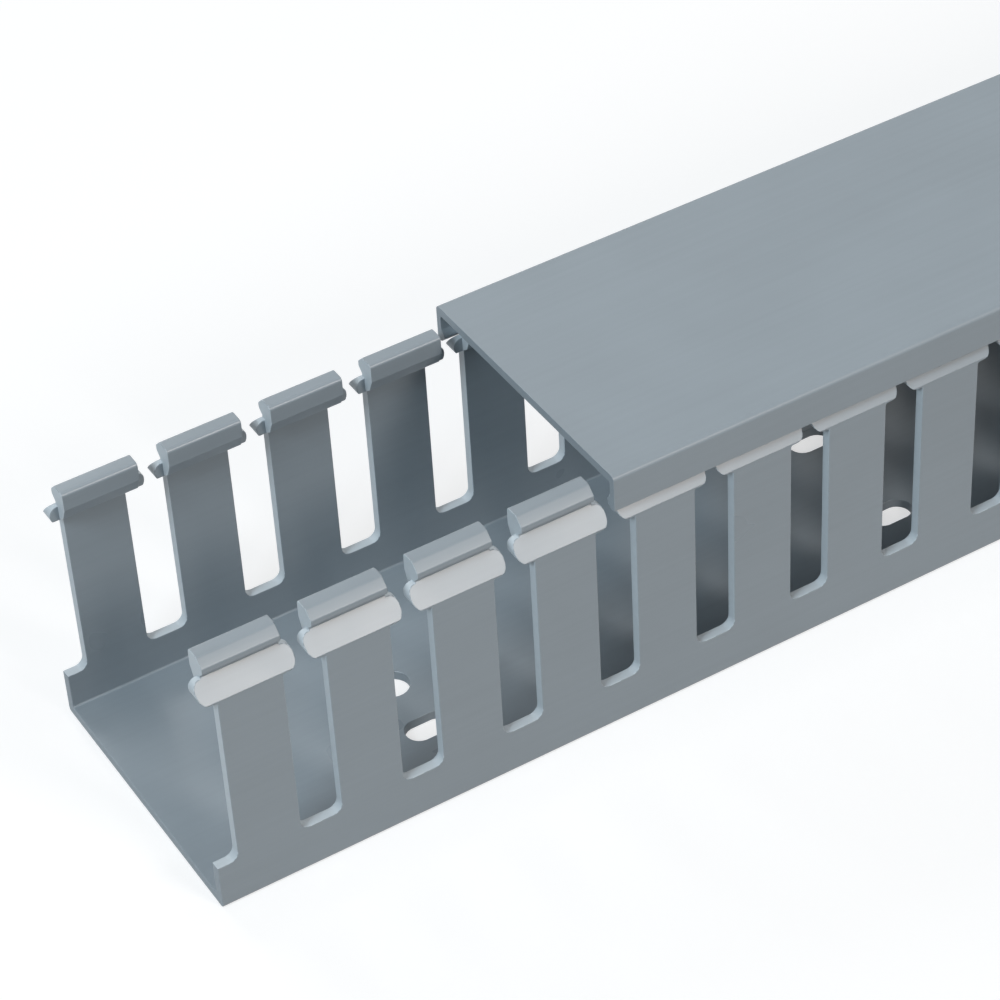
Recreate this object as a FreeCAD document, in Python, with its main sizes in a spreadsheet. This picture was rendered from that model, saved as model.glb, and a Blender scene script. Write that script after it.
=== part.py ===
import FreeCAD, Part

import os

import Sketcher
from FreeCAD import Vector

# Slotted wiring duct with a clip-on cover, shown with the cover slid part of the way back.
# X runs along the duct, +X is the covered end, Y is across it and Z is up.
# The origin is the middle of the trunk's underside. Lengths are in millimetres.

doc = FreeCAD.newDocument("wiring_duct")
sheet = doc.addObject("Spreadsheet::Sheet", "Sizes")

SIZES = [
    # the trunk: a flat base and two side walls
    ("duct_length", 500.0),
    ("duct_width", 58.0),
    ("wall_height", 53.7),
    ("base_thick", 2.0),
    ("wall_thick", 2.0),
    ("inner_radius", 1.2),
    ("outer_radius", 0.7),
    # the punched slots and the fingers between them
    ("slot_pitch", 20.0),
    ("slot_width", 8.0),
    ("sill_height", 9.5),
    ("sill_round", 1.8),
    ("throat_width", 2.0),
    ("arm_edge", 0.4),
    ("arm_top_round", 1.8),
    ("arm_flat", 0.3),
    ("arm_depth", 4.0),
    # the section of a finger head, depths counted in from the outer face
    ("nose_depth", 1.9),
    ("nose_round", 1.6),
    ("nose_face", 1.1),
    ("neck_depth", 3.1),
    ("shoulder_height", 3.8),
    ("head_depth", 6.4),
    ("lip_height", 3.7),
    ("lip_round", 0.8),
    ("lip_slant", 1.1),
    ("lip_fall", 2.5),
    # the mounting holes in the base
    ("hole_pitch", 100.0),
    ("row_gap", 25.5),
    ("oblong_length", 9.0),
    ("oblong_width", 5.5),
    ("round_hole", 6.5),
    # the cover
    ("cover_length", 500.0),
    ("cover_setback", 80.0),
    ("cover_inset", 0.2),
    ("cover_thick", 1.8),
    ("cover_radius", 1.0),
    ("skirt_thick", 1.35),
    ("skirt_rise", 2.3),
    ("hook_reach", 0.95),
    ("cover_gap", 0.3),
]
for row, (name, value) in enumerate(SIZES, start=1):
    sheet.set(f"A{row}", name)
    sheet.set(f"B{row}", str(value))
    sheet.setAlias(f"B{row}", name)
doc.recompute()


def origin_part(body, role):
    for feature in body.Origin.OriginFeatures:
        if feature.Role == role:
            return feature
    raise ValueError(role)


class Outline:
    """Closed lines of a sketch whose corners are bound to the sheet's sizes."""

    def __init__(self, body, name, role):
        self.sketch = body.newObject("Sketcher::SketchObject", name)
        self.sketch.AttachmentSupport = (origin_part(body, role), "")
        self.sketch.MapMode = "FlatFace"
        self.bound = []

    def value(self, text):
        return float(self.sketch.evalExpression(text))

    def limit(self, constraint, text):
        self.bound.append((self.sketch.addConstraint(constraint), text))

    def pin(self, geo, pos, x, y=None):
        for kind, text, axis in (("DistanceX", x, -2), ("DistanceY", y, -1)):
            if text is None:
                continue
            value = self.value(text)
            if text == "0":
                self.sketch.addConstraint(Sketcher.Constraint("PointOnObject", geo, pos, axis))
            else:
                self.limit(Sketcher.Constraint(kind, geo, pos, value), text)

    def curve(self, a, b, radius, side):
        """Adds the arc from a to b that swells to that side of its chord; returns it and its ends."""
        along = b - a
        across = Vector(-along.y, along.x, 0).normalize() * (1 if side == "left" else -1)
        half = along.Length / 2
        sag = radius - max(radius * radius - half * half, 0.0) ** 0.5
        geo = self.sketch.addGeometry(Part.Arc(a, (a + b) * 0.5 + across * sag, b), False)
        begins = self.sketch.getPoint(geo, 1).distanceToPoint(a) < 1e-6
        return (geo, 1, 2) if begins else (geo, 2, 1)

    def loop(self, corners):
        """corners: (x, y), or (x, y, radius, side) where a bend starts at that corner."""
        points = [Vector(self.value(c[0]), self.value(c[1]), 0) for c in corners]
        runs = []
        for corner, a, b in zip(corners, points, points[1:] + points[:1]):
            if len(corner) == 2:
                runs.append((self.sketch.addGeometry(Part.LineSegment(a, b), False), 1, 2))
                continue
            radius = self.value(corner[2])
            runs.append(self.curve(a, b, radius, corner[3]))
            self.limit(Sketcher.Constraint("Radius", runs[-1][0], radius), corner[2])
        for corner, run, after in zip(corners, runs, runs[1:] + runs[:1]):
            joint = Sketcher.Constraint("Coincident", run[0], run[2], after[0], after[1])
            self.sketch.addConstraint(joint)
            self.pin(run[0], run[1], corner[0], corner[1])

    def circle(self, x, y, radius):
        centre = Vector(self.value(x), self.value(y), 0)
        shape = Part.Circle(centre, Vector(0, 0, 1), self.value(radius))
        geo = self.sketch.addGeometry(shape, False)
        self.limit(Sketcher.Constraint("Radius", geo, self.value(radius)), radius)
        self.pin(geo, 3, x, y)

    def oblong(self, x, y, length, width):
        """A slot with round ends, drawn along x."""
        reach = f"({length} - {width}) / 2"
        ends = (f"{x} - {reach}", f"{x} + {reach}")
        sides = (f"{y} - {width} / 2", f"{y} + {width} / 2")
        low, high = ([Vector(self.value(e), self.value(s), 0) for e in ends] for s in sides)
        radius = self.value(f"{width} / 2")
        runs = [
            (self.sketch.addGeometry(Part.LineSegment(low[0], low[1]), False), 1, 2),
            self.curve(low[1], high[1], radius, "right"),
            (self.sketch.addGeometry(Part.LineSegment(high[1], high[0]), False), 1, 2),
            self.curve(high[0], low[0], radius, "right"),
        ]
        starts = ((ends[0], sides[0]), (ends[1], sides[0]), (ends[1], sides[1]), (ends[0], sides[1]))
        for run, after, start in zip(runs, runs[1:] + runs[:1], starts):
            joint = Sketcher.Constraint("Coincident", run[0], run[2], after[0], after[1])
            self.sketch.addConstraint(joint)
            self.pin(run[0], run[1], start[0], start[1])
        self.pin(runs[1][0], 3, ends[1])
        self.pin(runs[3][0], 3, ends[0])

    def done(self):
        for index, text in self.bound:
            self.sketch.setExpression(f"Constraints[{index}]", text)
        self.sketch.Visibility = False
        return self.sketch


def folded(line, first=""):
    """A line drawn on one side of the middle, then back along its mirror image on the other."""
    second = "-" if first == "" else ""
    there = [(f"{first}({c[0]})",) + tuple(c[1:]) for c in line]
    back = []
    for i in range(len(line) - 1, -1, -1):
        bend = tuple(line[i - 1][2:]) if i else ()
        back.append((f"{second}({line[i][0]})", line[i][1]) + bend)
    return there + back


def inward(line):
    """Reads the first number of each corner as a depth in from the duct's outer face."""
    return [(f"Sizes.duct_width / 2 - ({c[0]})",) + tuple(c[1:]) for c in line]


def pad(body, sketch, name, length):
    feature = body.newObject("PartDesign::Pad", name)
    feature.Profile = sketch
    feature.setExpression("Length", length)
    return feature


def punch(body, sketch, name, step, count, width=None):
    """Cuts a sketch through the piece, or over a width, and repeats the cut along the duct."""
    before = body.Tip.Shape.Volume
    cut = body.newObject("PartDesign::Pocket", name)
    cut.Profile = sketch
    cut.Type = "Length" if width else "ThroughAll"
    cut.SideType = "Symmetric"
    if width:
        cut.setExpression("Length", width)
    doc.recompute()
    if cut.Shape.Volume > before - 1:
        raise RuntimeError(f"{name} cuts nothing")
    row = body.newObject("PartDesign::LinearPattern", name + "Row")
    row.Originals = [cut]
    row.Direction = (origin_part(body, "X_Axis"), [""])
    row.Mode = "Spacing"
    row.setExpression("Offset", step)
    row.setExpression("Occurrences", count)
    body.Tip = row
    doc.recompute()


# Heights of a head's corners, counted down from the top of the wall.
TOP = "Sizes.wall_height"
NOSE_HIGH = f"({TOP} - Sizes.nose_round)"
NOSE_LOW = f"({NOSE_HIGH} - Sizes.nose_face)"
NECK = f"({NOSE_LOW} - (Sizes.neck_depth - Sizes.nose_depth))"
SHOULDER = f"({NECK} - Sizes.shoulder_height)"
SLOPE = "(Sizes.shoulder_height / Sizes.neck_depth)"
LIP = f"({TOP} - Sizes.lip_height)"
BEND = f"({SHOULDER} - Sizes.wall_thick / 2)"

# One wall, up its outer face, over the head and down to the base's upper face.
WALL = [
    ("0", "Sizes.outer_radius"),
    ("0", SHOULDER),
    ("Sizes.neck_depth", NECK),
    ("Sizes.nose_depth", NOSE_LOW),
    ("Sizes.nose_depth", NOSE_HIGH),
    ("Sizes.nose_depth + Sizes.nose_round * 0.3", f"{TOP} - Sizes.nose_round * 0.3"),
    ("Sizes.nose_depth + Sizes.nose_round", TOP),
    ("Sizes.head_depth - Sizes.lip_round", TOP),
    ("Sizes.head_depth", f"{TOP} - Sizes.lip_round"),
    ("Sizes.head_depth", LIP),
    ("Sizes.head_depth - Sizes.lip_slant", f"{LIP} - Sizes.lip_fall"),
    ("Sizes.wall_thick", BEND),
    ("Sizes.wall_thick", "Sizes.base_thick + Sizes.inner_radius", "Sizes.inner_radius", "left"),
    ("Sizes.wall_thick + Sizes.inner_radius", "Sizes.base_thick"),
]
UNDERSIDE = [("Sizes.outer_radius", "0")]

# The trunk, extruded in one piece.
base = doc.addObject("PartDesign::Body", "duct_base")
base.Label = "duct_base"
trunk = Outline(base, "TrunkSection", "YZ_Plane")
section = folded(inward(WALL))
section[-1] = section[-1] + ("Sizes.outer_radius", "right")
left, right = folded(inward(UNDERSIDE), "-")
trunk.loop(section + [left, right + ("Sizes.outer_radius", "right")])
pad(base, trunk.done(), "Trunk", "Sizes.duct_length")
doc.recompute()

# The mounting holes: round ones on the middle line, oblong ones in a row on each side.
FIRST = "Sizes.hole_pitch / 2"
holes = Outline(base, "MountingHoles", "XY_Plane")
holes.circle(FIRST, "0", "Sizes.round_hole / 2")
holes.oblong(FIRST, "Sizes.row_gap / 2", "Sizes.oblong_length", "Sizes.oblong_width")
holes.oblong(FIRST, "-Sizes.row_gap / 2", "Sizes.oblong_length", "Sizes.oblong_width")
punch(base, holes.done(), "Hole", "Sizes.hole_pitch", "floor(Sizes.duct_length / Sizes.hole_pitch + 0.5)")

# The slots, punched through both walls: a wide part between the fingers, a narrow throat
# between the round-ended arms of the heads, and a wider gap between the crowns above them.
# There is a half slot at each end of the duct.
ARM = f"({SHOULDER} - Sizes.arm_edge)"
HALF = "Sizes.throat_width / 2"
CROWN = f"({HALF} + Sizes.arm_top_round)"
LOW_ROUND = f"({NECK} - {ARM} - Sizes.arm_top_round - Sizes.arm_flat)"
SLOT = [
    ("Sizes.slot_width / 2 - Sizes.sill_round", "Sizes.sill_height"),
    ("Sizes.slot_width / 2 - Sizes.sill_round * 0.3", "Sizes.sill_height + Sizes.sill_round * 0.3"),
    ("Sizes.slot_width / 2", "Sizes.sill_height + Sizes.sill_round"),
    ("Sizes.slot_width / 2", ARM),
    (f"{HALF} + {LOW_ROUND}", ARM),
    (f"{HALF} + {LOW_ROUND} * 0.3", f"{ARM} + {LOW_ROUND} * 0.3"),
    (HALF, f"{ARM} + {LOW_ROUND}"),
    (HALF, f"{NECK} - Sizes.arm_top_round"),
    (f"{HALF} + Sizes.arm_top_round * 0.3", f"{NECK} - Sizes.arm_top_round * 0.3"),
    (CROWN, NECK),
    (CROWN, f"{TOP} + Sizes.base_thick"),
]
SLOTS = "floor(Sizes.duct_length / Sizes.slot_pitch) + 1"
slot = Outline(base, "SlotOutline", "XZ_Plane")
slot.loop(folded(SLOT))
punch(base, slot.done(), "Slot", "Sizes.slot_pitch", SLOTS)

# The arms are thinner than the crown, which alone has the inner lip.
TRIM = [
    ("Sizes.arm_depth", SHOULDER),
    ("Sizes.arm_depth", f"{TOP} + Sizes.base_thick"),
    ("Sizes.head_depth + Sizes.wall_thick", f"{TOP} + Sizes.base_thick"),
    ("Sizes.head_depth + Sizes.wall_thick", SHOULDER),
]
trim = Outline(base, "ArmTrim", "YZ_Plane")
trim.loop(inward(TRIM))
trim.loop([(f"-({y})", z) for y, z in inward(TRIM)])
punch(base, trim.done(), "Trim", "Sizes.slot_pitch", SLOTS, f"2 * {CROWN}")
base.setExpression("Placement.Base.x", "-Sizes.duct_length / 2")

# The cover, extruded in one piece: a flat top and two skirts, each with a hook that lies
# between the head's nose and its shoulder.
FACE = f"({TOP} + Sizes.cover_gap + Sizes.cover_thick)"
INSIDE = "(Sizes.cover_inset + Sizes.skirt_thick)"
TIP = f"({INSIDE} + Sizes.hook_reach)"
SKIRT = f"({SHOULDER} + Sizes.skirt_rise)"
OVER = f"Sizes.cover_gap * sqrt(1 + {SLOPE} * {SLOPE})"
UNDER = "Sizes.cover_gap * sqrt(2)"


def over_shoulder(depth):
    return f"{SHOULDER} + {SLOPE} * {depth} + {OVER}"


def under_nose(depth):
    return f"{NECK} + Sizes.neck_depth - {depth} - {UNDER}"


OUTSIDE = [
    ("Sizes.cover_inset", SKIRT),
    ("Sizes.cover_inset", f"{FACE} - Sizes.cover_radius", "Sizes.cover_radius", "right"),
    ("Sizes.cover_inset + Sizes.cover_radius", FACE),
]
HOOK = [
    (f"({SKIRT} - {SHOULDER} - {OVER}) / {SLOPE}", SKIRT),
    (TIP, over_shoulder(TIP)),
    (TIP, under_nose(TIP)),
    (INSIDE, under_nose(INSIDE)),
    (INSIDE, f"{TOP} + Sizes.cover_gap"),
]
cover = doc.addObject("PartDesign::Body", "duct_cover")
cover.Label = "duct_cover"
shell = Outline(cover, "CoverSection", "YZ_Plane")
shell.loop(folded(inward(OUTSIDE)) + folded(inward(HOOK), "-"))
cover.Tip = pad(cover, shell.done(), "Cover", "Sizes.cover_length")
cover.setExpression("Placement.Base.x", "Sizes.cover_setback - Sizes.duct_length / 2")
doc.recompute()

for item in doc.Objects:
    if "Invalid" in item.State or "Error" in item.State:
        raise RuntimeError(f"{item.Name} failed: {item.State}")
os.makedirs("parts", exist_ok=True)
for body in (base, cover):
    shape = body.Shape
    if shape.isNull() or not shape.isValid():
        raise RuntimeError(f"{body.Label} is not a good solid")
    shape.exportStep(f"parts/{body.Label}.step")
    box = shape.BoundBox
    print(body.Label, len(shape.Solids), round(shape.Volume), box)
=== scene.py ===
import math

import bmesh
import bpy
from mathutils import Matrix, Vector


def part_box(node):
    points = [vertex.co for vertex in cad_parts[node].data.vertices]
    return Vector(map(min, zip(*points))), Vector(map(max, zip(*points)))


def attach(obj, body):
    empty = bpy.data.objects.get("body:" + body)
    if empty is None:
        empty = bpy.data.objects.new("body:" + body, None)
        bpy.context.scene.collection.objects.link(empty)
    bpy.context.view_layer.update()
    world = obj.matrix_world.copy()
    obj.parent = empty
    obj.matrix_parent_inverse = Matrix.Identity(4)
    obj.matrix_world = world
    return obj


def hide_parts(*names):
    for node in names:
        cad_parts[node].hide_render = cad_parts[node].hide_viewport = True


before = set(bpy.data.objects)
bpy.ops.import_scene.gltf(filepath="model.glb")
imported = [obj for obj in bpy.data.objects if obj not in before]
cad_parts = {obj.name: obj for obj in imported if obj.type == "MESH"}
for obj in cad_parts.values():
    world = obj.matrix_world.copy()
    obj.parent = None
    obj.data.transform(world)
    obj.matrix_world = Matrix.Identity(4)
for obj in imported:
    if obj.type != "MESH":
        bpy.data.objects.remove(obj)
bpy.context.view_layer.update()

# Slotted wiring duct: a trunk with rows of fingers and a cover that clips over their heads.
# Sizes are in millimetres up to new_piece(), which makes the meshes in metres.
MM = 0.001
trunk_low, trunk_high = (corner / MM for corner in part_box("duct_base"))
cover_low, cover_high = (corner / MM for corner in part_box("duct_cover"))

# The trunk's walls and base
LENGTH = trunk_high.x - trunk_low.x
HALF_WIDTH = trunk_high.y
TOP = trunk_high.z
BASE = 2.0
WALL = 2.0
INNER_RADIUS = 0.5
OUTER_RADIUS = 0.7

# The slots, as half widths and heights
PITCH = 20.0
HALF_SLOT = 4.0
HALF_THROAT = 1.0
HALF_CROWN_GAP = 2.8
SILL = 9.5
SILL_ROUND = 1.8
ARM_EDGE = 0.4
ARM_CROOK = 0.4
ARM_LOW_ROUND = 2.0
ARM_TOP_ROUND = 1.5

# The section of a finger head: depths counted in from the outer face, heights from the top down
NOSE_DEPTH = 1.9
NOSE_BLUNT = 1.6
NOSE_FACE = 1.1
NECK_DEPTH = 3.1
SHOULDER_HEIGHT = 3.8
HEAD_DEPTH = 6.4
ARM_DEPTH = 4.0
ARM_BELOW_NECK = 0.35
LIP_HEIGHT = 3.7
LIP_FALL = 2.5
LIP_SLANT = 1.1
NOSE_LOW = TOP - NOSE_BLUNT - NOSE_FACE
NECK = NOSE_LOW - (NECK_DEPTH - NOSE_DEPTH)
SHOULDER = NECK - SHOULDER_HEIGHT
SLOPE = (NECK - SHOULDER) / NECK_DEPTH
LIP = TOP - LIP_HEIGHT
LIP_LOW = LIP - LIP_FALL
BEND = SHOULDER - WALL / 2
ARM = SHOULDER - ARM_EDGE
ARM_TOP = NECK - ARM_BELOW_NECK

# The roundings of that section
NECK_ROUND = 0.3
NOSE_LOW_ROUND = 0.35
NOSE_ROUND = 0.5
CROWN_ROUND = 0.7
BEND_ROUND = 0.3
LIP_LOW_ROUND = 0.6
LIP_ROUND = 0.8

# The screw holes in the base
HOLE_PITCH = 100.0
ROW_GAP = 25.5
OBLONG_LENGTH = 9.0
OBLONG_WIDTH = 5.5
ROUND_HOLE = 6.5
HOLE_STEPS = 24

# The cover
COVER_THICK = 1.8
COVER_ROUND = 1.0
COVER_INNER_ROUND = 0.4
SKIRT_THICK = 1.35
SKIRT_ROUND = 0.3
HOOK_REACH = 0.95
HOOK_ROUND = 0.2
HOOK_CROOK = 0.25
CLEARANCE = 0.3

# How far sharp edges are broken, which edges are, and which stay creases in the shading
PUNCHED_EDGE = 0.15
COVER_EDGE = 0.08
EDGE_STEPS = 3
BROKEN = math.radians(42)
CREASED = math.radians(34)
FACE_WEIGHT = 90

# How finely arcs are drawn, and how far cutters reach past what they cut
ARC_STEP = math.radians(15)
SHORTEST_STEP = 0.2
BEYOND = 5.0

# The material slots of both pieces
SMOOTH, PUNCHED, SAWN = 0, 1, 2


def rounded(corners):
    """The points of a closed line through corners (u, v) or (u, v, radius), bends as arcs."""
    points = []
    for i, corner in enumerate(corners):
        here = Vector(corner[:2])
        if len(corner) == 2:
            points.append(here)
            continue
        before = (Vector(corners[i - 1][:2]) - here).normalized()
        after = (Vector(corners[(i + 1) % len(corners)][:2]) - here).normalized()
        radius = corner[2]
        opening = before.angle(after)
        turn = math.pi - opening
        centre = here + (before + after).normalized() * radius / math.sin(opening / 2)
        reach = radius / math.tan(opening / 2)
        start, end = here + before * reach - centre, here + after * reach - centre
        steps = min(math.ceil(turn / ARC_STEP), max(1, round(turn * radius / SHORTEST_STEP)))
        for step in range(steps + 1):
            angle = turn * step / steps
            spoke = start * math.sin(turn - angle) + end * math.sin(angle)
            points.append(centre + spoke / math.sin(turn))
    return points


def add_strip(bm, near, far, slot):
    """The faces between two closed rings of corners."""
    for i in range(len(near)):
        j = (i + 1) % len(near)
        bm.faces.new((near[i], near[j], far[j], far[i])).material_index = slot


def add_prism(bm, outline, stations, place, sides):
    """A closed prism: place(u, v, w) puts an outline's point (u, v) at each station w."""
    rings = [[bm.verts.new(place(u, v, w)) for u, v in outline] for w in stations]
    for ring in (rings[0], rings[-1]):
        bm.faces.new(ring).material_index = SAWN
    for near, far in zip(rings, rings[1:]):
        add_strip(bm, near, far, sides)


def new_piece(name, bm, materials):
    """A piece from a bmesh in millimetres."""
    bmesh.ops.recalc_face_normals(bm, faces=bm.faces)
    bmesh.ops.scale(bm, vec=(MM, MM, MM), verts=bm.verts)
    mesh = bpy.data.meshes.new(name)
    bm.to_mesh(mesh)
    bm.free()
    piece = bpy.data.objects.new(name, mesh)
    bpy.context.scene.collection.objects.link(piece)
    for material in materials:
        mesh.materials.append(material)
    return piece


def settle(piece):
    """Turns the piece's modifiers into its mesh."""
    graph = bpy.context.evaluated_depsgraph_get()
    mesh = bpy.data.meshes.new_from_object(piece.evaluated_get(graph))
    mesh.name = piece.name
    piece.modifiers.clear()
    piece.data = mesh


def smooth_faces(piece):
    """Shades the piece smoothly between its creases."""
    piece.data.shade_smooth()
    piece.data.set_sharp_from_angle(angle=CREASED)
    normals = piece.modifiers.new("normals", "WEIGHTED_NORMAL")
    normals.weight = FACE_WEIGHT
    normals.keep_sharp = True
    settle(piece)


def break_edges(piece, width):
    """Rounds the sharp edges slightly and shades the faces smoothly."""
    bevel = piece.modifiers.new("edges", "BEVEL")
    bevel.width = width * MM
    bevel.segments = EDGE_STEPS
    bevel.limit_method = "ANGLE"
    bevel.angle_limit = BROKEN
    bevel.use_clamp_overlap = False
    settle(piece)
    smooth_faces(piece)


# The lines of a wall, rising: its two faces as depths in from the outside, and a slot's edge
# as its half width. The end points that only close a line are left out.
OUTER_FACE = rounded([
    (HALF_WIDTH, 0.0),
    (0.0, 0.0, OUTER_RADIUS),
    (0.0, SHOULDER),
    (NECK_DEPTH, NECK, NECK_ROUND),
    (NOSE_DEPTH, NOSE_LOW, NOSE_LOW_ROUND),
    (NOSE_DEPTH, TOP - NOSE_BLUNT, NOSE_ROUND),
    (NOSE_DEPTH + NOSE_BLUNT, TOP, CROWN_ROUND),
    (HALF_WIDTH, TOP),
])[1:-1]
INNER_FACE = rounded([
    (HALF_WIDTH, BASE),
    (WALL, BASE, INNER_RADIUS),
    (WALL, BEND, BEND_ROUND),
    (HEAD_DEPTH - LIP_SLANT, LIP_LOW, LIP_LOW_ROUND),
    (HEAD_DEPTH, LIP, LIP_ROUND),
    (HEAD_DEPTH, TOP, LIP_ROUND),
    (0.0, TOP),
])[1:-1]
SLOT_EDGE = rounded([
    (0.0, SILL),
    (HALF_SLOT, SILL, SILL_ROUND),
    (HALF_SLOT, ARM, ARM_CROOK),
    (HALF_THROAT, ARM, ARM_LOW_ROUND),
    (HALF_THROAT, ARM_TOP, ARM_TOP_ROUND),
    (HALF_CROWN_GAP, ARM_TOP),
    (HALF_CROWN_GAP, TOP + BEYOND),
])[1:]


def mirrored(half):
    """A closed outline: the half with u above zero, then its mirror image backwards."""
    return [(u, v) for u, v in half] + [(-u, v) for u, v in reversed(half)]


def slot_places():
    """The middles of the slots along the trunk, from one end to the other."""
    count = round(LENGTH / PITCH) + 1
    return [trunk_low.x + PITCH * i for i in range(count)]


def trunk_shape():
    """The trunk before punching: one section, extruded, with a line across at each slot."""
    bm = bmesh.new()
    wall = [(HALF_WIDTH - p.x, p.y) for p in OUTER_FACE + INNER_FACE[::-1]]
    add_prism(bm, mirrored(wall), slot_places(), lambda u, v, w: (w, u, v), SMOOTH)
    return bm


def slot_cutters():
    """The slots, straight through both walls, with the throats between the heads' arms."""
    bm = bmesh.new()
    ends = (-HALF_WIDTH - BEYOND, HALF_WIDTH + BEYOND)
    for x in slot_places():
        add_prism(bm, mirrored(SLOT_EDGE), ends, lambda u, v, w: (x + u, w, v), PUNCHED)
    return bm


def lip_cutters():
    """The wider gaps between the inner lips, which leave the arms thinner than the crowns."""
    bm = bmesh.new()
    half = [(HALF_CROWN_GAP, ARM), (HALF_CROWN_GAP, TOP + BEYOND)]
    ends = (ARM_DEPTH - HALF_WIDTH, HALF_WIDTH - ARM_DEPTH)
    for x in slot_places():
        add_prism(bm, mirrored(half), ends, lambda u, v, w: (x + u, w, v), PUNCHED)
    return bm


def hole_outline(length, width):
    """A slot with round ends, or a circle where its length is its width."""
    reach = (length - width) / 2
    points = []
    for step in range(HOLE_STEPS):
        angle = 2 * math.pi * (step + 0.5) / HOLE_STEPS
        end = math.copysign(reach, math.cos(angle))
        points.append((end + math.cos(angle) * width / 2, math.sin(angle) * width / 2))
    return points


def hole_cutters():
    """The screw holes, whose walls are as dark as the sawn ends."""
    bm = bmesh.new()
    rows = (
        (0, ROUND_HOLE, ROUND_HOLE),
        (ROW_GAP / 2, OBLONG_LENGTH, OBLONG_WIDTH),
        (-ROW_GAP / 2, OBLONG_LENGTH, OBLONG_WIDTH),
    )
    for place in range(round(LENGTH / HOLE_PITCH)):
        x = trunk_low.x + HOLE_PITCH * (place + 0.5)
        for y, length, width in rows:
            outline = hole_outline(length, width)
            add_prism(bm, outline, (-BASE, 2 * BASE), lambda u, v, w: (x + u, y + v, w), SAWN)
    return bm


def punch(piece, name, cutters):
    """Takes the cutters out of the piece."""
    tool = new_piece(name, cutters, piece.data.materials)
    cut = piece.modifiers.new(name, "BOOLEAN")
    cut.operation = "DIFFERENCE"
    cut.solver = "EXACT"
    cut.object = tool
    settle(piece)
    bpy.data.objects.remove(tool)


def make_trunk(materials):
    trunk = new_piece("trunk", trunk_shape(), materials)
    punch(trunk, "slots", slot_cutters())
    punch(trunk, "lip_gaps", lip_cutters())
    punch(trunk, "holes", hole_cutters())
    break_edges(trunk, PUNCHED_EDGE)
    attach(trunk, "duct_base")
    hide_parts("duct_base")


def cover_outline():
    """The cover's section: a flat top, two skirts and a hook on each between shoulder and nose."""
    inset = HALF_WIDTH - cover_high.y
    inside = inset + SKIRT_THICK
    tip = inside + HOOK_REACH
    over = CLEARANCE * math.hypot(1, SLOPE)
    under = NECK + NECK_DEPTH - CLEARANCE * math.sqrt(2)
    half = [
        (inside, cover_high.z - COVER_THICK, COVER_INNER_ROUND),
        (inside, under - inside, HOOK_CROOK),
        (tip, under - tip, HOOK_ROUND),
        (tip, SHOULDER + SLOPE * tip + over, HOOK_ROUND),
        ((cover_low.z - SHOULDER - over) / SLOPE, cover_low.z, HOOK_ROUND),
        (inset, cover_low.z, SKIRT_ROUND),
        (inset, cover_high.z, COVER_ROUND),
    ]
    right = [(HALF_WIDTH - depth, z, radius) for depth, z, radius in half]
    return rounded(right + [(-y, z, radius) for y, z, radius in reversed(right)])


def shrunk(outline, inset):
    """The outline with each side moved in by the inset; the outline runs anticlockwise."""
    points = []
    for i, here in enumerate(outline):
        before = (here - outline[i - 1]).normalized()
        after = (outline[(i + 1) % len(outline)] - here).normalized()
        inward = Vector((-before.y - after.y, before.x + after.x))
        points.append(here + inward * inset / (1 + before.dot(after)))
    return points


def make_cover(materials):
    """The cover: its section extruded, with the edges of both ends rounded."""
    bm = bmesh.new()
    outline = cover_outline()
    turns = [math.pi / 2 * step / EDGE_STEPS for step in range(EDGE_STEPS + 1)]
    front = [(COVER_EDGE * (1 - math.sin(t)), COVER_EDGE * (1 - math.cos(t))) for t in turns]
    stations = [(inset, cover_low.x + back) for inset, back in front]
    stations += [(inset, cover_high.x - back) for inset, back in reversed(front)]
    rings = [
        [bm.verts.new((x, p.x, p.y)) for p in shrunk(outline, inset)] for inset, x in stations
    ]
    for near, far in zip(rings, rings[1:]):
        add_strip(bm, near, far, SMOOTH)
    for ring in (rings[0], rings[-1]):
        bm.faces.new(ring).material_index = SAWN
    cover = new_piece("cover", bm, materials)
    smooth_faces(cover)
    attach(cover, "duct_cover")
    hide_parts("duct_cover")


def node(tree, kind, **values):
    """A node with its properties and inputs set, an input's name with _ for each space."""
    made = tree.nodes.new(kind)
    for name, value in values.items():
        if hasattr(made, name):
            setattr(made, name, value)
        else:
            made.inputs[name.replace("_", " ")].default_value = value
    return made


# The plastic's noises, each as its stretch along the axes, its scale and its detail, and the
# part of a noise's range that most of it lies in
CLOUDS = ((1.0, 1.0, 1.0), 38.0, 3.0)
STREAKS = ((0.02, 1.0, 1.0), 900.0, 2.0)
SPECKLE = ((1.0, 1.0, 1.0), 2600.0, 2.0)
NOISE_LOW, NOISE_HIGH = 0.3, 0.7

# How the plastic varies: its darkest and lightest as shares of its colour, what clouds and
# streaks count for between them, and how far the clouds take its roughness down and up
DARKER, LIGHTER = 0.955, 1.045
CLOUDS_SHARE, STREAKS_SHARE = 0.6, 0.4
SMOOTHER, ROUGHER = 0.03, 0.04

# Its refraction, and the heights of its lines and grain in metres
PVC_IOR = 1.53
LINE_HEIGHT = 0.00004
GRAIN_HEIGHT = 0.00003

# A colour mix node's sockets, whose names others of its sockets share
MIX_FACTOR, MIX_FIRST, MIX_SECOND, MIX_COLOUR = 0, 6, 7, 2


def noise(tree, stretch, scale, detail):
    """Noise in the piece's own space, stretched along an axis where its stretch is small."""
    place = node(tree, "ShaderNodeTexCoord")
    mapping = node(tree, "ShaderNodeMapping")
    mapping.inputs["Scale"].default_value = stretch
    made = node(tree, "ShaderNodeTexNoise", Scale=scale, Detail=detail)
    tree.links.new(place.outputs["Object"], mapping.inputs["Vector"])
    tree.links.new(mapping.outputs["Vector"], made.inputs["Vector"])
    return made.outputs["Fac"]


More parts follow.
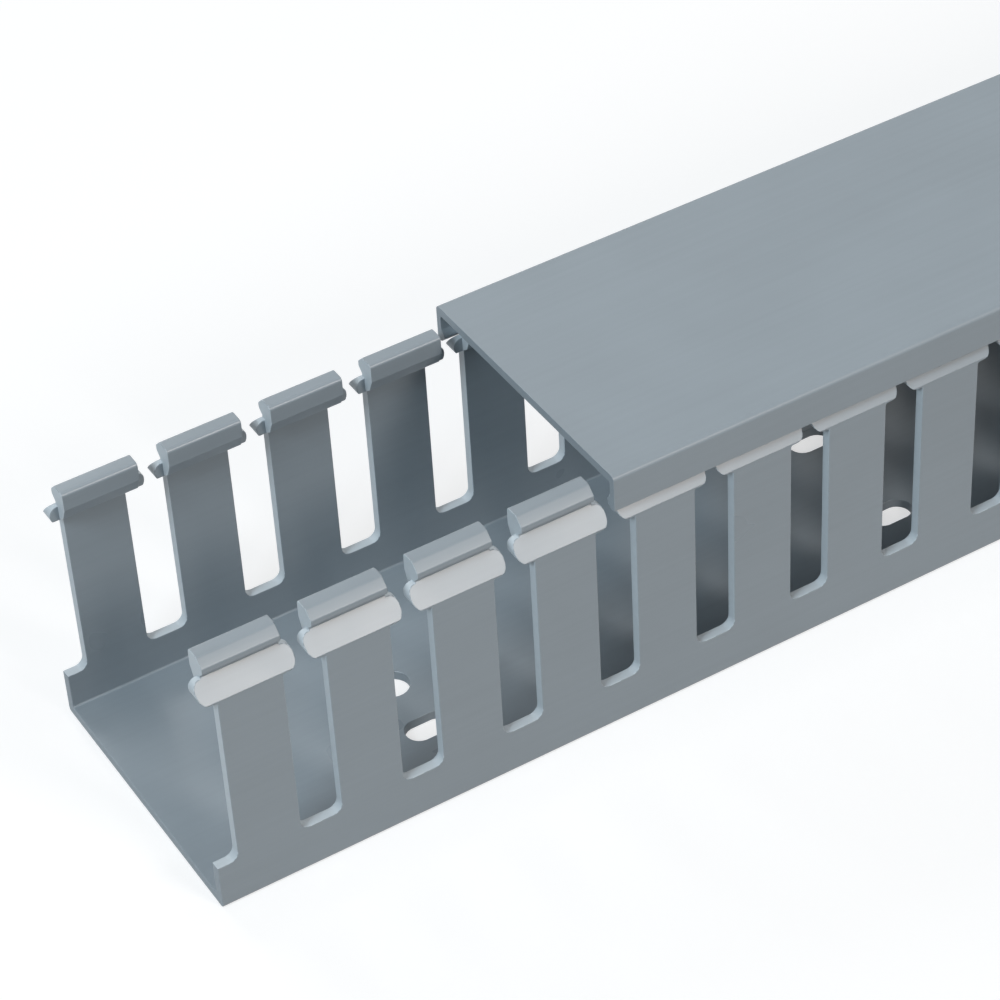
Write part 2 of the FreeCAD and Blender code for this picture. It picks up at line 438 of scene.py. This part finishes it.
def spread(tree, factor, low, high):
    """Takes a noise's usual range to low to high."""
    made = node(
        tree, "ShaderNodeMapRange", clamp=False,
        From_Min=NOISE_LOW, From_Max=NOISE_HIGH, To_Min=low, To_Max=high,
    )
    tree.links.new(factor, made.inputs["Value"])
    return made.outputs["Result"]


def plastic(name, colour, roughness, lines, grain):
    """Grey rigid PVC: faint cloudy colour, extrusion lines along the duct and a fine grain."""
    material = bpy.data.materials.new(name)
    material.use_nodes = True
    tree = material.node_tree
    shader = tree.nodes["Principled BSDF"]
    shader.inputs["IOR"].default_value = PVC_IOR
    clouds = noise(tree, *CLOUDS)
    streaks = noise(tree, *STREAKS)
    speckle = noise(tree, *SPECKLE)

    tint = node(tree, "ShaderNodeMix", data_type="RGBA", blend_type="MIX")
    tint.inputs[MIX_FIRST].default_value = (*(DARKER * c for c in colour), 1.0)
    tint.inputs[MIX_SECOND].default_value = (*(LIGHTER * c for c in colour), 1.0)
    blend = node(tree, "ShaderNodeMath", operation="ADD")
    tree.links.new(spread(tree, clouds, 0.0, CLOUDS_SHARE), blend.inputs[0])
    tree.links.new(spread(tree, streaks, 0.0, STREAKS_SHARE), blend.inputs[1])
    tree.links.new(blend.outputs[0], tint.inputs[MIX_FACTOR])
    tree.links.new(tint.outputs[MIX_COLOUR], shader.inputs["Base Color"])
    sheen = spread(tree, clouds, roughness - SMOOTHER, roughness + ROUGHER)
    tree.links.new(sheen, shader.inputs["Roughness"])

    relief = node(tree, "ShaderNodeBump", Strength=lines, Distance=LINE_HEIGHT)
    tree.links.new(streaks, relief.inputs["Height"])
    fine = node(tree, "ShaderNodeBump", Strength=grain, Distance=GRAIN_HEIGHT)
    tree.links.new(speckle, fine.inputs["Height"])
    tree.links.new(relief.outputs["Normal"], fine.inputs["Normal"])
    tree.links.new(fine.outputs["Normal"], shader.inputs["Normal"])
    return material


def lit_for_camera(tree, plain, shown):
    """Mixes a second shader in for what the camera sees, straight or in gloss or glass."""
    path = node(tree, "ShaderNodeLightPath")
    first = node(tree, "ShaderNodeMath", operation="MAXIMUM")
    second = node(tree, "ShaderNodeMath", operation="MAXIMUM")
    tree.links.new(path.outputs["Is Camera Ray"], first.inputs[0])
    tree.links.new(path.outputs["Is Glossy Ray"], first.inputs[1])
    tree.links.new(first.outputs[0], second.inputs[0])
    tree.links.new(path.outputs["Is Transmission Ray"], second.inputs[1])
    mix = node(tree, "ShaderNodeMixShader")
    tree.links.new(second.outputs[0], mix.inputs[0])
    tree.links.new(plain.outputs[0], mix.inputs[1])
    tree.links.new(shown.outputs[0], mix.inputs[2])
    return mix


# The surroundings: floor and world are bright only for what the camera sees, and the world
# lights the object dimly
WHITE = (1.0, 1.0, 1.0, 1.0)
FLOOR_COLOUR = (0.46, 0.46, 0.46, 1.0)
FLOOR_GLOW = 0.62
FLOOR_SIZE = 6.0
WORLD_LIGHT = 0.05


def make_floor():
    bpy.ops.mesh.primitive_plane_add(size=FLOOR_SIZE, location=(0, 0, trunk_low.z * MM))
    floor = bpy.context.object
    floor.name = "floor"
    material = bpy.data.materials.new("floor")
    material.use_nodes = True
    tree = material.node_tree
    tree.nodes.clear()
    output = node(tree, "ShaderNodeOutputMaterial")
    paper = node(tree, "ShaderNodeBsdfDiffuse", Color=FLOOR_COLOUR)
    glow = node(tree, "ShaderNodeEmission", Color=WHITE, Strength=FLOOR_GLOW)
    both = node(tree, "ShaderNodeAddShader")
    tree.links.new(paper.outputs[0], both.inputs[0])
    tree.links.new(glow.outputs[0], both.inputs[1])
    mix = lit_for_camera(tree, paper, both)
    tree.links.new(mix.outputs[0], output.inputs["Surface"])
    floor.data.materials.append(material)


def make_world():
    world = bpy.data.worlds.new("studio")
    bpy.context.scene.world = world
    world.use_nodes = True
    tree = world.node_tree
    tree.nodes.clear()
    output = node(tree, "ShaderNodeOutputWorld")
    dim = node(tree, "ShaderNodeBackground", Color=WHITE, Strength=WORLD_LIGHT)
    bright = node(tree, "ShaderNodeBackground", Color=WHITE, Strength=1.0)
    mix = lit_for_camera(tree, dim, bright)
    tree.links.new(mix.outputs[0], output.inputs["Surface"])


# What the picture shows, in metres: the front end of the duct, seen from its front left and above
AIM = Vector((-0.17205, 0.00639, 0.027))
DISTANCE = 0.636
AZIMUTH = math.radians(-29.32)
ELEVATION = math.radians(40.80)
ROLL = math.radians(-3.57)
LENS = 128.96
SENSOR = 36.0
CLIP_START = 0.01


def direction(azimuth, elevation):
    """The way to a thing seen from AIM, its azimuth turning from -Y towards +X."""
    flat = math.cos(elevation)
    return Vector((math.sin(azimuth) * flat, -math.cos(azimuth) * flat, math.sin(elevation)))


def make_camera():
    back = direction(AZIMUTH, ELEVATION)
    level = Vector((0, 0, 1)).cross(back).normalized()
    upright = back.cross(level)
    right = level * math.cos(ROLL) + upright * math.sin(ROLL)
    up = back.cross(right)
    turn = Matrix((right, up, back)).transposed().to_4x4()
    data = bpy.data.cameras.new("camera")
    data.lens = LENS
    data.sensor_width = SENSOR
    data.clip_start = CLIP_START
    camera = bpy.data.objects.new("camera", data)
    camera.matrix_world = Matrix.Translation(AIM + back * DISTANCE) @ turn
    bpy.context.scene.collection.objects.link(camera)
    bpy.context.scene.camera = camera


# The lamps: name, azimuth and elevation in degrees, size in metres, level and colour
LAMP_DISTANCE = 2.4
LAMPS = (
    ("top", 0, 90, 1.1, 0.22, (1.0, 1.0, 1.0)),
    ("back", 180, 30, 1.1, 0.28, (1.0, 1.0, 1.0)),
    ("left", -68, 42, 0.74, 0.50, (0.88, 1.0, 1.08)),
    ("front", 20, 31, 0.62, 0.31, (1.08, 1.0, 0.94)),
)


def softbox(name, azimuth, elevation, size, level, colour):
    """A square area lamp: at level 1, a surface at AIM that faces it shows its own colour."""
    data = bpy.data.lights.new(name, "AREA")
    data.size = size
    data.energy = level * (math.pi * LAMP_DISTANCE) ** 2
    data.color = colour
    lamp = bpy.data.objects.new(name, data)
    towards = direction(math.radians(azimuth), math.radians(elevation))
    lamp.location = AIM + towards * LAMP_DISTANCE
    lamp.rotation_mode = "QUATERNION"
    lamp.rotation_quaternion = (-towards).to_track_quat("-Z", "Y")
    bpy.context.scene.collection.objects.link(lamp)


make_world()
make_floor()
make_camera()
for lamp_values in LAMPS:
    softbox(*lamp_values)

# The plastics: name, colour, roughness, and the strengths of the lines and the grain
GREY = (0.295, 0.342, 0.378)
PALE = (0.53, 0.59, 0.63)
duct_pvc = plastic("duct_pvc", GREY, 0.30, 0.15, 0.2)
cover_pvc = plastic("cover_pvc", GREY, 0.38, 0.15, 0.2)
punched_pvc = plastic("punched_pvc", PALE, 0.5, 0.1, 0.6)
sawn_pvc = plastic("sawn_pvc", GREY, 0.55, 0.1, 1.0)
make_trunk((duct_pvc, punched_pvc, sawn_pvc))
make_cover((cover_pvc, punched_pvc, sawn_pvc))

bpy.context.scene.view_settings.view_transform = "Standard"
